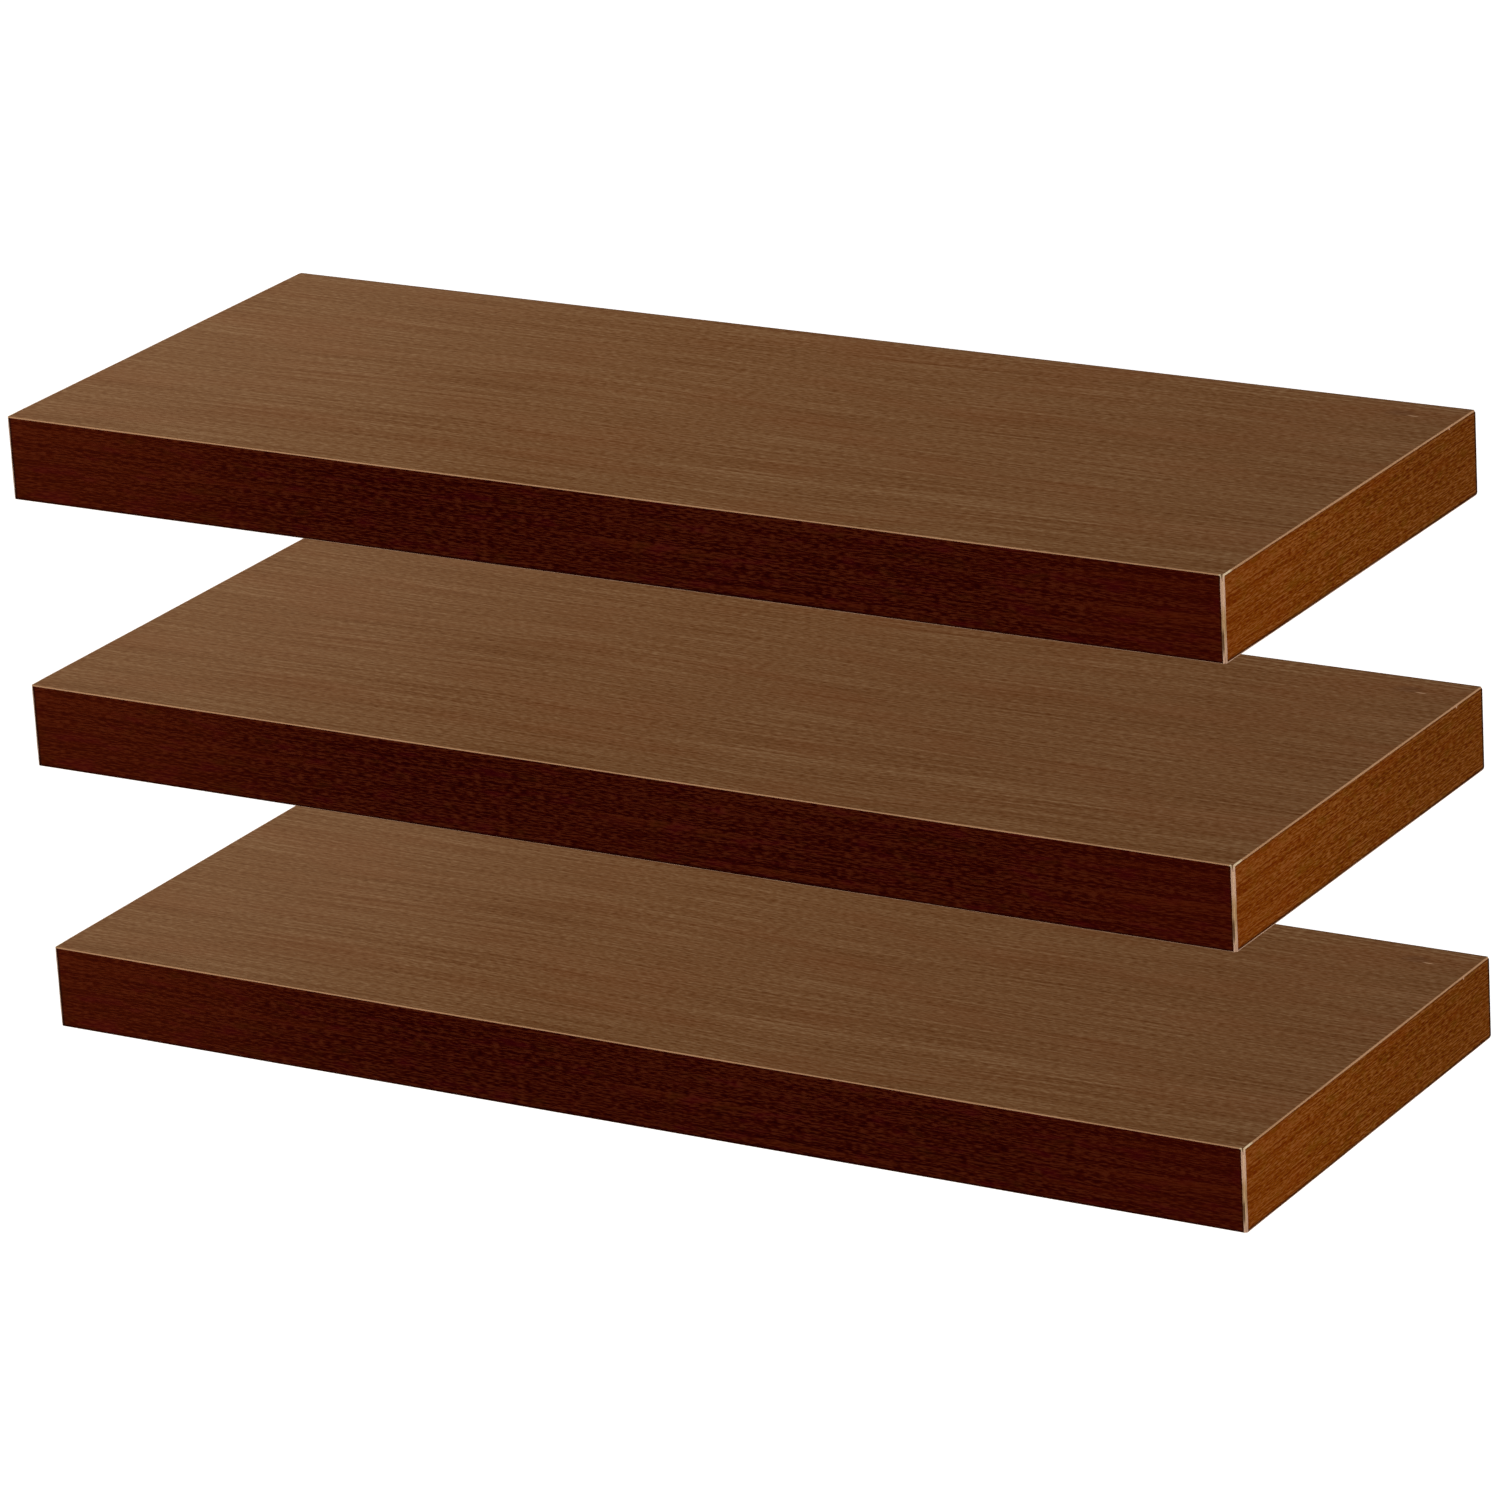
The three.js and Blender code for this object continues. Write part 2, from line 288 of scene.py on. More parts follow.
def bentPlace(tree, place, bends):
    # the place, shifted across the print by slow noise, so that lines drawn on it bend
    bent = place
    for size, reach in bends:
        noise = stretchedNoise(tree, place, size, 1)
        drift = addNode(tree, "MapRange", {"Value": noise, "To Min": -reach, "To Max": reach})
        across = addNode(tree, "CombineXYZ", {"Y": drift})
        bent = addNode(tree, "VectorMath", {0: bent, 1: across}, operation="ADD")
    return bent


def grainTone(tree, lines, streaks):
    # layers of streaks, each as strong as its share, added up round a middle tone of one half
    tone = 0.5 - sum(share for _, share, _ in streaks) / 2
    for size, share, detail in streaks:
        noise = stretchedNoise(tree, lines, size, detail)
        tone = addNode(tree, "Math", {0: noise, 1: share, 2: tone}, operation="MULTIPLY_ADD")
    return tone


def printedFoil(name, look):
    # Paper foil with a printed wood grain and a dull lacquer, glued and pressed flat. To the eye it is an
    # even brown with long fine lines, short dark grains and soft bands, and next to no gloss. Each look
    # has the sheen, shade or light that falls on its face painted into its colours.
    material, tree = startMaterial(name, {"IOR": foil["ior"], "Specular IOR Level": look["specular"]})
    place = printPlace(tree)
    lines = bentPlace(tree, place, look["bends"])
    tone = grainTone(tree, lines, look["grain"])
    colour = colourSteps(tree, tone, look["tones"])
    for patch in look["patches"]:
        cloud = stretchedNoise(tree, lines, patch["size"], 2)
        colour = layTint(tree, colour, cloud, patch, "SMOOTHSTEP")
    pores = look["pores"]
    pore = addNode(tree, "MapRange", {
        "Value": stretchedNoise(tree, lines, pores["size"], 1),
        "From Min": pores["from"], "From Max": pores["to"],
    }, interpolation_type="SMOOTHSTEP")
    colour = layTint(tree, colour, pore, pores)
    split = addNode(tree, "SeparateXYZ", {0: place})
    for fade in look["fades"]:
        colour = layTint(tree, colour, split.outputs[fade["axis"]], fade, "SMOOTHSTEP")
    colour = laySpots(tree, colour, place, look["spots"])
    rough, smooth = look["roughness"] + foil["roughnessSwing"], look["roughness"] - foil["roughnessSwing"]
    gloss = addNode(tree, "MapRange", {"Value": tone, "To Min": rough, "To Max": smooth})
    height = addNode(tree, "Math", {0: tone, 1: pore}, operation="SUBTRACT")
    return finishMaterial(material, {"Base Color": colour, "Roughness": gloss}, height, *foil["relief"])


# The skins' look: the one foil painted paler and greyer, with the sheen that the top shows.
boardFoil = {
    "tones": ((0.0, "#562f12"), (0.5, "#6e4a2c"), (1.0, "#866546")),
    "bends": (((420, 110), 13), ((70, 25), 0.6)),      # (length, width) of a bend, how far it shifts a line
    "grain": (                                         # (length, width) of a streak, its share, detail
        ((900, 14), 0.3, 2), ((260, 1.6), 0.6, 1), ((80, 1.2), 0.95, 1), ((3.6, 0.9), 1.4, 1),
    ),
    "patches": (
        {"size": (90, 30), "range": (0.45, 0.7), "share": 0.2, "tint": "#6e3c1f"},
        {"size": (320, 1.5), "range": (0.6, 0.85), "share": 0.7, "tint": "#573216"},
    ),
    "pores": {"size": (3.0, 0.9), "from": 0.64, "to": 0.76, "share": 0.5, "tint": "#4a2a12"},
    "roughness": 0.78, "specular": 0.008,
    "fades": (                                         # along (0) or across (1) the print
        # paler and greyer towards the left end: a painted sheen of the light from the left
        {"axis": 0, "range": (-40, -300), "share": 0.13, "tint": "#91765c"},
        {"axis": 0, "range": (-298.4, -299.6), "share": 0.3, "tint": "#3a2210"},
        {"axis": 1, "range": (-1.8, -0.4), "share": 0.3, "tint": "#3a2210"},
    ),
    "spots": (                                         # a pale scratch and a scuff near the back right corner
        {"at": (279.0, -17.4), "size": (3.6, 0.5), "share": 0.8, "tint": "#c09a78"},
        {"at": (272.0, -15.0), "size": (9.0, 5.0), "share": 0.25, "tint": "#4b3123"},
    ),
}
# The front band's look: the same foil painted darker and redder, with the shade that the front shows.
frontFoil = {
    "tones": ((0.0, "#200000"), (0.5, "#310600"), (1.0, "#451808")),
    "bends": (((90, 14), 1.2), ((12, 4), 0.15)),
    "grain": (((400, 5), 0.8, 2), ((190, 1.1), 1.7, 1), ((24, 0.8), 1.25, 1), ((4.0, 0.5), 4.3, 1)),
    "patches": (
        {"size": (200, 4.0), "range": (0.52, 0.77), "share": 0.4, "tint": "#4a1602"},
        {"size": (24, 6), "range": (0.52, 0.77), "share": 0.4, "tint": "#42030c"},
        {"size": (17, 6), "range": (0.55, 0.8), "share": 0.4, "tint": "#331500"},
    ),
    "pores": {"size": (9.0, 0.6), "from": 0.62, "to": 0.74, "share": 0.25, "tint": "#180000"},
    "roughness": 0.7, "specular": 0.008,
    "fades": (
        {"axis": 0, "range": (-100, -300), "share": 0.1, "tint": "#812e0c"},
        {"axis": 0, "range": (150, 300), "share": 0.2, "tint": "#4a1002"},
        {"axis": 0, "range": (-297.0, -298.4), "share": 0.75, "tint": "#150704"},
        {"axis": 0, "range": (297.2, 298.4), "share": 0.5, "tint": "#1e0c00"},
        {"axis": 1, "range": (-17.4, -18.6), "share": 0.7, "tint": "#0a0000"},
    ),
    "spots": (),
}
# The end bands' look: the same foil painted brighter and more orange, with the light on the right end.
endFoil = {
    "tones": ((0.0, "#511a00"), (0.5, "#6b3503"), (1.0, "#854f22")),
    "bends": (((90, 14), 1.2), ((12, 4), 0.15)),
    "grain": (((200, 5), 0.6, 2), ((150, 1.1), 1.4, 1), ((22, 0.8), 1.15, 1), ((3.8, 0.55), 2.8, 1)),
    "patches": (
        {"size": (40, 9), "range": (0.5, 0.75), "share": 0.35, "tint": "#702c04"},
        {"size": (15, 7), "range": (0.52, 0.77), "share": 0.35, "tint": "#5e4004"},
    ),
    "pores": {"size": (5.0, 0.7), "from": 0.62, "to": 0.74, "share": 0.35, "tint": "#421a00"},
    "roughness": 0.7, "specular": 0.004,
    "fades": (
        {"axis": 0, "range": (-210, 0), "share": 0.28, "tint": "#431f06"},
        {"axis": 0, "range": (-110, -235), "share": 0.3, "tint": "#732e00"},
        {"axis": 0, "range": (-2.3, -0.9), "share": 0.85, "tint": "#180a03"},
        {"axis": 1, "range": (-17.0, -18.2), "share": 0.8, "tint": "#1f0d04"},
        {"axis": 1, "range": (17.5, 18.4), "share": 0.45, "tint": "#3c1c05"},
    ),
    "spots": (),
}
# One foil in three looks, each with the sheen, shade or light of its face painted into its colours
foilWithPaintedSheen = printedFoil("printed_foil_painted_sheen", boardFoil)
foilWithPaintedShade = printedFoil("printed_foil_painted_shade", frontFoil)
foilWithPaintedLight = printedFoil("printed_foil_painted_light", endFoil)


# What shows beside the foil

trimmedCore = {
    "shine": {"IOR": 1.5, "Roughness": 0.7, "Specular IOR Level": 0.02},
    "tones": ((0.3, "#b08c75"), (0.5, "#b9957d"), (0.7, "#c19c85")), "cloudSize": (30, 30),
    "specks": {"size": (0.8, 0.8), "range": (0.35, 0.65), "share": 0.3, "tint": "#80603f"},
    "arris": {"range": (17.6, 18.4), "share": 0.75, "tint": "#9c7149"},      # above the band's middle
    "relief": (0.4, 0.05),
    "frontSpots": (
        {"at": (299.2, -2.0), "size": (1.6, 10.0), "share": 0.75, "tint": "#8f6e45"},      # yellowed resin
        {"at": (299.0, -9.8), "size": (1.3, 7.0), "share": 0.9, "tint": "#4c331b"},        # glue in the seam
        {"at": (298.5, 18.4), "size": (0.9, 1.2), "share": 0.7, "tint": "#d2be9c"},        # filed clean
        {"at": (299.4, 19.2), "size": (0.9, 3.4), "share": 0.9, "tint": "#4c331b"},        # dirt
    ),
    "endSpots": (
        {"at": (-234.7, -2.0), "size": (1.6, 10.0), "share": 0.75, "tint": "#8f6e45"},
        {"at": (-235.0, -9.8), "size": (0.35, 6.6), "share": 0.8, "tint": "#4c331b"},
        {"at": (-231.0, 19.0), "size": (5.0, 3.0), "share": 0.6, "tint": "#dccba8"},
        {"at": (-235.2, 19.2), "size": (0.9, 3.4), "share": 0.9, "tint": "#4c331b"},
    ),
}


def cutMelamine(name, look, spots):
    # Resin-soaked paper core of the edge band, bared where the band was trimmed with a file. A pale beige,
    # pinker and yellower in places, browner along the arris, with faint dark specks over the cut.
    material, tree = startMaterial(name, look["shine"])
    place = printPlace(tree)
    fine = stretchedNoise(tree, place, look["specks"]["size"], 2)
    colour = colourSteps(tree, stretchedNoise(tree, place, look["cloudSize"], 1), look["tones"])
    colour = layTint(tree, colour, fine, look["specks"])
    up = addNode(tree, "SeparateXYZ", {0: place}).outputs[1]
    colour = layTint(tree, colour, up, look["arris"])
    colour = laySpots(tree, colour, place, spots)
    return finishMaterial(material, {"Base Color": colour}, fine, *look["relief"])


def mattFibres(name, look):
    # what fibreboard and paper share: tones along the fibres, and a tint over them in clouds or in flecks
    material, tree = startMaterial(name, look["shine"])
    place = objectPlace(tree)
    fibres = stretchedNoise(tree, place, look["fibreSize"], 3)
    over = look["over"]
    pattern = stretchedNoise(tree, place, over["size"], over["detail"])
    colour = layTint(tree, colourSteps(tree, fibres, look["tones"]), pattern, over)
    return finishMaterial(material, {"Base Color": colour}, fibres, *look["relief"])


# The 3 mm skin where the saw cut it: dense brown fibres, matt and slightly furry.
sawnFibreboard = {
    "shine": {"IOR": 1.45, "Roughness": 0.9, "Specular IOR Level": 0.2},
    "fibreSize": (1.6, 1.6, 0.35), "tones": ((0.3, "#5d412a"), (0.5, "#7b5a3b"), (0.7, "#99754f")),
    "over": {"size": (25, 25, 25), "detail": 2, "tint": "#6d4e33"},
    "relief": (0.6, 0.12),
}
frontCore = cutMelamine("trimmed_melamine_front", trimmedCore, trimmedCore["frontSpots"])
endCore = cutMelamine("trimmed_melamine_end", trimmedCore, trimmedCore["endSpots"])
rawSkin = mattFibres("sawn_fibreboard_edge", sawnFibreboard)
print("foils ready")


# Top and bottom skins

skin = {
    "edgeRound": 0.12,                         # where the skin meets the edge bands
    "backRound": 0.4,                          # at the sawn back edge
    "scratchAt": (279.0, -17.4), "scratchLength": 3.6, "scratchWidth": 0.22, "scratchDepth": 0.08,
    "cells": (12, 8),                          # along and across the board
    "scratchCells": ((5, 0.6), (0.8, 0.1)),    # reach and size of the finer ones, along and across
    "undersidePrint": (137, -420),             # the underside shows another stretch of the same print
}
edgeShares = np.array((0.15, 0.4, 0.7, 1.0, 2.5))      # of an edge's width, where the stations near it lie


def stations(low, high, step, edge, fine=()):
    # even places from low to high, close ones at both ends, and more where fine gives (centre, reach, step)
    places = [evenPlaces(low, high, step), low + edge * edgeShares, high - edge * edgeShares]
    places += [np.arange(centre - reach, centre + reach, spacing) for centre, reach, spacing in fine]
    places = np.unique(np.concatenate(places).round(4))
    return places[(places >= low) & (places <= high)]


def makeSkin(level, face):
    # Two flat grids over x and y, 3 mm apart. The outer one drops in a quarter round to its edges, and a
    # short groove of bell-shaped section is pressed into it where the scratch is.
    low, high = boxOf(f"{level}_{face}_panel")
    onTop = face == "top"
    scratchX, scratchY = skin["scratchAt"]
    fineX, fineY = skin["scratchCells"]
    x = stations(low[0], high[0], skin["cells"][0], skin["edgeRound"], [(scratchX, *fineX)] if onTop else [])
    y = stations(low[1], high[1], skin["cells"][1], skin["edgeRound"], [(scratchY, *fineY)] if onTop else [])
    x = x[:, None]
    drop = edgeDrop(np.minimum(x - low[0], high[0] - x), skin["edgeRound"])
    drop = np.maximum(drop, edgeDrop(y - low[1], skin["edgeRound"]))
    drop = np.maximum(drop, edgeDrop(high[1] - y, skin["backRound"]))
    if onTop:
        across = (y - scratchY) / skin["scratchWidth"]
        along = (x - scratchX) / (skin["scratchLength"] / 2)
        drop = drop + skin["scratchDepth"] * np.exp(-across ** 2 - along ** 4)
    outer = pointsAt(x, y, high[2] - drop if onTop else low[2] + drop)
    inner = pointsAt(x, y, low[2] if onTop else high[2])
    points, printed, glued, edges = bodyBetween(outer, inner)
    printMap = points[:, :2] + (0 if onTop else skin["undersidePrint"])
    parts = [(printed, 0), (glued, 1), (edges, 1)]
    # the skins take the look with the painted sheen
    piece = makePiece(f"{level}_{face}_skin", points, parts, [foilWithPaintedSheen, rawSkin], printMap)
    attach(piece, f"{level}_board")
    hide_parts(f"{level}_{face}_panel")


for level in levels:
    for face in ("top", "bottom"):
        makeSkin(level, face)
print("skins made")


# Edge bands

band = {
    "frontBevels": ((0.17, 0.18), (0.34, 0.36)),     # below and above: across the band's edge, up its face
    "endBevels": ((0.17, 0.5), (0.34, 0.55)),        # the ends are trimmed harder
    "bevelWander": 0.2, "bevelWaves": (140, 47, 19, 7),       # share by which the hand-held file strays
    "bevelCrown": 0.05,                              # how far the filed edge bulges
    "backCornerRound": 1.3,                          # of the end bands, filed off at the wall
    "frontCut": 0.02, "endCut": -0.1,                # how much further than a true mitre they are cut back
    "seamWander": 0.1, "seamWaves": (21, 8, 3.1),
    "nickAt": -25.9, "nickLength": 0.5, "nickDepth": 0.9,     # in the right band's top edge, from the wall
    "cell": 6, "endCells": 1.0, "nickCells": (1.5, 0.2), "faceRows": 25,
    "seeds": {"front": (3, 14, 23), "left": (5, 16, 25), "right": (8, 19, 28)},      # both bevels, seam
    "sharpAngle": 20,
}


def bandGrids(height, thickness, length, bevels, seeds, nick):
    # The band's section: two rows of a filed bevel below, rows up the outer face and two of a bevel above.
    # The same rows go up the flat back. Returns the shares along the band, how far each point stands out,
    # its height, and which rows the foil covers.
    along = stations(0, length, band["cell"], band["endCells"], [(nick, *band["nickCells"])] if nick else [])
    half, crown = height / 2, band["bevelCrown"]
    edges = []
    for (bevelOut, bevelDown), seed, onTop in zip(bevels, seeds, (False, True)):
        stray = 1 + band["bevelWander"] * wander(along, band["bevelWaves"], seed)
        legOut, legDown = bevelOut * stray, bevelDown * stray
        if nick and onTop:
            legDown = legDown + band["nickDepth"] * np.exp(-((along - nick) / band["nickLength"]) ** 2)
        out = np.stack((thickness - legOut, thickness - legOut / 2 + crown / 2, 0 * along + thickness))
        up = np.stack((0 * along + half, half - legDown / 2 + crown / 2, half - legDown))
        edges.append((out, up))
    (lowOut, lowUp), (highOut, highUp) = edges
    rowShares = np.linspace(0, 1, band["faceRows"] + 2)[1:-1, None]
    face = rowShares * (highUp[2] + lowUp[2]) - lowUp[2]
    outGrid = np.concatenate((lowOut, np.full_like(face, thickness), highOut[::-1]))
    upGrid = np.concatenate((-lowUp, face, highUp[::-1]))
    foiled = np.ones(len(outGrid) - 1, bool)
    foiled[:2] = foiled[-2:] = False
    return along / length, outGrid, upGrid, foiled


def makeBand(level, side):
    # The grids of bandGrids, laid along the front or an end. Both ends of the front band and the front ends
    # of the end bands are mitred: a point that stands further out is cut back by as much, and by the stray
    # of the file.
    node = f"{level}_{side}_band"
    low, high = boxOf(node)
    middle, height = (low[2] + high[2]) / 2, high[2] - low[2]
    atFront = side == "front"
    axis, across = (0, 1) if atFront else (1, 0)
    thickness, length = high[across] - low[across], high[axis] - low[axis]
    nick = length + band["nickAt"] if side == "right" else None
    bevels = band["frontBevels"] if atFront else band["endBevels"]
    seeds = band["seeds"][side]
    share, out, up, foiled = bandGrids(height, thickness, length, bevels, seeds, nick)
    stray = band["seamWander"] * wander(up, band["seamWaves"], seeds[2])
    mitre = out + out / thickness * (stray + (band["frontCut"] if atFront else band["endCut"]))
    if atFront:
        cutEnd = high[0] - mitre
        # the front band takes the look with the painted shade
        materials, slot = [foilWithPaintedShade, frontCore], "mahogany_front_band"
    else:
        cutEnd = high[1]
        # the end bands take the look with the painted light
        materials, slot = [foilWithPaintedLight, endCore], "chestnut_end_band"
        up = up * (1 - edgeDrop((1 - share) * length, band["backCornerRound"]) / (height / 2))
    cutStart = low[axis] + mitre
    along = cutStart + share * (cutEnd - cutStart)
    backAlong = low[axis] + share * length
    if atFront:
        outer = pointsAt(along, high[1] - out, middle + up)
        inner = pointsAt(backAlong, high[1], middle + up)
    else:
        glued, away = (low[0], 1) if side == "right" else (high[0], -1)
        outer = pointsAt(glued + away * out, along, middle + up)
        inner = pointsAt(glued, backAlong, middle + up)
    points, front, back, edges = bodyBetween(outer, inner)
    covered = np.repeat(foiled, outer.shape[1] - 1)
    parts = [(front[covered], 0), (front[~covered], 1), (back, 1), (edges, 1)]
    printMap = pointsAt(points[:, axis], points[:, 2] - middle)
    piece = makePiece(f"{level}_{side}_edging", points, parts, materials, printMap, band["sharpAngle"])
    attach(piece, f"{level}_board")
    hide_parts(node)


for level in levels:
    for side in ("front", "left", "right"):
        makeBand(level, side)
print("edge bands made")


# Wood, board and paper inside

noiseRange = (0.3, 0.7)                        # most of a noise lies within this

pineLook = {
    "shine": {"IOR": 1.5, "Specular IOR Level": 0.25},
    "pith": 55, "ring": 3.2,                   # from the piece's middle to the pith, width of a ring
    "straightness": 60, "bendSize": (12, 12, 12), "bend": 5,      # how slowly along the grain the rings bend
    "tones": ((0.0, "#dcc08f"), (0.6, "#d2b07c"), (0.9, "#b5854f"), (1.0, "#dcc08f")),
    "fibreLength": 18, "fibreWidth": 0.35, "fibres": {"range": noiseRange, "share": 0.35, "tint": "#bf9a66"},
    "roughness": (0.6, 0.8), "relief": (0.5, 0.08),
}
chipLook = {
    "shine": {"IOR": 1.45, "Roughness": 0.9, "Specular IOR Level": 0.2},
    "chipsPerMm": (0.35, 0.35, 1.1), "tones": ((0.0, "#8a6438"), (0.45, "#b8935c"), (1.0, "#d8bd8c")),
    "grainSize": (1.2, 1.2, 0.5), "grain": {"tint": "#a8834e"},
    "relief": (0.6, 0.25),
}


def planedPine(name, grain, look):
    # Softwood, sawn and planed. Growth rings round a pith outside the piece: pale early wood that darkens
    # to a thin brown line, seen as long lines on the sides and as arcs on the sawn ends.
    material, tree = startMaterial(name, look["shine"])
    place = objectPlace(tree)
    straight = [look["straightness"] if axis == grain else 1 for axis in range(3)]
    squeezed = addNode(tree, "VectorMath", {0: place, 1: straight}, operation="DIVIDE")
    bend = stretchedNoise(tree, squeezed, look["bendSize"], 2)
    pith = [0 if axis == grain else -look["pith"] for axis in range(3)]
    fromPith = addNode(tree, "VectorMath", {0: squeezed, 1: pith}, operation="DISTANCE").outputs[1]
    wavy = addNode(tree, "Math", {0: bend, 1: look["bend"], 2: fromPith}, operation="MULTIPLY_ADD")
    rings = addNode(tree, "Math", {0: wavy, 1: look["ring"]}, operation="DIVIDE")
    colour = colourSteps(tree, addNode(tree, "Math", {0: rings}, operation="FRACT"), look["tones"])
    fibreSize = [look["fibreLength"] if axis == grain else look["fibreWidth"] for axis in range(3)]
    fibre = stretchedNoise(tree, place, fibreSize, 2)
    colour = layTint(tree, colour, fibre, look["fibres"])
    smooth, rough = look["roughness"]
    gloss = addNode(tree, "MapRange", {"Value": fibre, "To Min": smooth, "To Max": rough})
    return finishMaterial(material, {"Base Color": colour, "Roughness": gloss}, fibre, *look["relief"])


def sawnParticleboard(name, look):
    # Wood chips pressed with resin and sawn: pale and brown flakes 1 to 4 mm across, open and matt.
    material, tree = startMaterial(name, look["shine"])
    place = objectPlace(tree)
    flat = addNode(tree, "VectorMath", {0: place, 1: look["chipsPerMm"]}, operation="MULTIPLY")
    chips = addNode(tree, "TexVoronoi", {"Vector": flat, "Scale": 1}, feature="F1")
    spread = addNode(tree, "SeparateColor", {0: chips.outputs["Color"]})
    colour = colourSteps(tree, spread, look["tones"])
    colour = layTint(tree, colour, stretchedNoise(tree, place, look["grainSize"], 2), look["grain"])
    return finishMaterial(material, {"Base Color": colour}, chips.outputs["Distance"], *look["relief"])


# Unbleached kraft paper, expanded into cells: a soft brown with long fibres and a few darker shives.
kraftPaper = {
    "shine": {"IOR": 1.45, "Roughness": 0.92, "Specular IOR Level": 0.15},
    "fibreSize": (0.6, 0.6, 2.4), "tones": ((0.3, "#94704a"), (0.7, "#b98f62")),
    "over": {"size": (0.9, 0.9, 4.0), "detail": 1, "range": (0.66, 0.74), "share": 0.5, "tint": "#5f4228"},
    "relief": (0.4, 0.06),
}


def dress(node, material):
    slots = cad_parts[node].data.materials
    slots.clear()
    slots.append(material)


pineAlongX = planedPine("planed_pine_lengthwise", 0, pineLook)
pineAlongY = planedPine("planed_pine_crosswise", 1, pineLook)
particleboard = sawnParticleboard("sawn_particleboard", chipLook)
paper = mattFibres("expanded_kraft_paper", kraftPaper)
for level in levels:
    dress(f"{level}_front_batten", pineAlongX)
    dress(f"{level}_honeycomb_core", paper)
    for side in ("left", "right"):
        dress(f"{level}_{side}_batten", pineAlongY)
        dress(f"{level}_{side}_rod_block", particleboard)


# Plates with holes

def holeThrough(outline, centre, steps):
    # The rings of a hole along y: for each (growth, share of the depth), every rim point is drawn in towards
    # the hole's middle until it lies on the outline, which says how far that is in its direction.
    def rings(rimOuter, rimInner):
        away = rimOuter[:, (0, 2)] - centre
        direction = away / np.linalg.norm(away, axis=1)[:, None]
        made = []
        for growth, depth in steps:
            ring = (1 - depth) * rimOuter + depth * rimInner
            ring[:, (0, 2)] = centre + direction * outline(direction, growth)[:, None]
            made.append(ring)
        return made

    return rings


def roundHole(radius):
    return lambda direction, growth: np.full(len(direction), radius + growth)


def slotHole(radius, straight):
    # distance from the middle of a slot to its edge: to a flat side where that is met within the straight
    # part, else to the round end
    def outline(direction, growth):
        along, up = np.abs(direction[:, 0]), np.maximum(np.abs(direction[:, 1]), 1e-9)
        grown = radius + growth
        flat = grown / up
        end = straight * along + np.sqrt(np.maximum(grown ** 2 - (straight * up) ** 2, 0))
        return np.where(flat * along <= straight, flat, end)

    return outline


def holeStations(low, high, step, centres, reach, cells, clear=1):
    # even places from low to high, with a block of equal cells round each centre that they stay clear of
    even = evenPlaces(low, high, step)
    for centre in centres:
        even = even[(even < centre - reach - clear) | (even > centre + reach + clear)]
    blocks = [np.linspace(centre - reach, centre + reach, cells + 1) for centre in centres]
    return np.unique(np.concatenate([[low], even, *blocks, [high]]).round(5))


def holeBlock(places, centre, reach):
    # the first and last station of the block round a hole
    return [int(np.argmin(abs(places - end))) for end in (centre - reach, centre + reach)]


rodPlaces = [np.mean(boxOf(f"middle_{side}_rod"), axis=0)[0] for side in ("left", "right")]

batten = {
    "bore": 6.3, "leadIn": 1.2,                # radius of the bore, bevel at its mouth
    "cells": (20, 8), "blockReach": 12, "blockCells": 14,
    "edgeBevel": 0.4,
}


def makeBackBatten(level):
    # two flat grids over x and z, the batten's depth apart, with two bevelled bores through them
    node = f"{level}_back_batten"
    low, high = boxOf(node)
    middle = (low[2] + high[2]) / 2
    block = batten["blockReach"], batten["blockCells"]
    x = holeStations(low[0], high[0], batten["cells"][0], rodPlaces, *block)
    z = holeStations(low[2], high[2], batten["cells"][1], [middle], *block)
    outer, inner = (pointsAt(x[:, None], y, z) for y in (high[1], low[1]))
    steps = ((batten["leadIn"], 0), (0, batten["leadIn"] / (high[1] - low[1])), (0, 1))
    holes = [{
        "rows": holeBlock(x, place, block[0]), "columns": holeBlock(z, middle, block[0]),
        "rings": holeThrough(roundHole(batten["bore"]), (place, middle), steps),
    } for place in rodPlaces]
    points, *groups = bodyBetween(outer, inner, holes)
    parts = [(faces, 0) for faces in groups]
    piece = makePiece(f"{level}_bored_batten", points, parts, [pineAlongX], points[:, (0, 2)])
    breakEdges(piece, batten["edgeBevel"], segments=1, fromAngle=60)
    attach(piece, f"{level}_board")
    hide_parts(node)


for level in levels:
    makeBackBatten(level)
print("inner wood made")


# Steel

zincLook = {
    "rolling": (90, 90, 0.8),                  # drawn twice as coarse as the real lines, so that they show
    "cloud": (70, 70, 10), "tones": ((0.3, "#81868a"), (0.5, "#8a8e91"), (0.7, "#949695")),
    "lines": {"range": (0.4, 0.7), "share": 0.5, "tint": "#5d6266"},
    "heat": {
        "near": 7, "far": 19, "stray": 4,      # from the rod's middle
        "range": (1, 0.2), "share": 0.75,
        "tint": ((0.0, "#4f4a48"), (0.3, "#6d6f82"), (0.6, "#a98f5f"), (1.0, "#b9b7ad")),
    },
    "roughness": (0.34, 0.4), "relief": (0.25, 0.02),
}
barLook = {
    "line": (0.35, 40), "cloud": (12, 12),     # round the bar and along it
    "tones": ((0.3, "#84878a"), (0.5, "#989b9d"), (0.7, "#abadae")),
    "heat": {
        "near": 6, "far": 17, "stray": 3,      # from the wall
        "range": (1, 0.3), "share": 0.85,
        "tint": ((0.0, "#3d3a3a"), (0.25, "#5a5f7a"), (0.5, "#8a7350"), (1.0, "#a39f96")),
    },
    "roughness": (0.26, 0.42), "relief": (0.3, 0.02),
}


def layHeat(tree, colour, distance, clouds, heat):
    # the colours that a weld's heat leaves from near to far, uneven with the clouds and fading out
    uneven = addNode(tree, "Math", {0: clouds, 1: heat["stray"], 2: distance}, operation="MULTIPLY_ADD")
    away = addNode(tree, "MapRange", {"Value": uneven, "From Min": heat["near"], "From Max": heat["far"]})
    return layTint(tree, colour, away, heat, "SMOOTHSTEP")


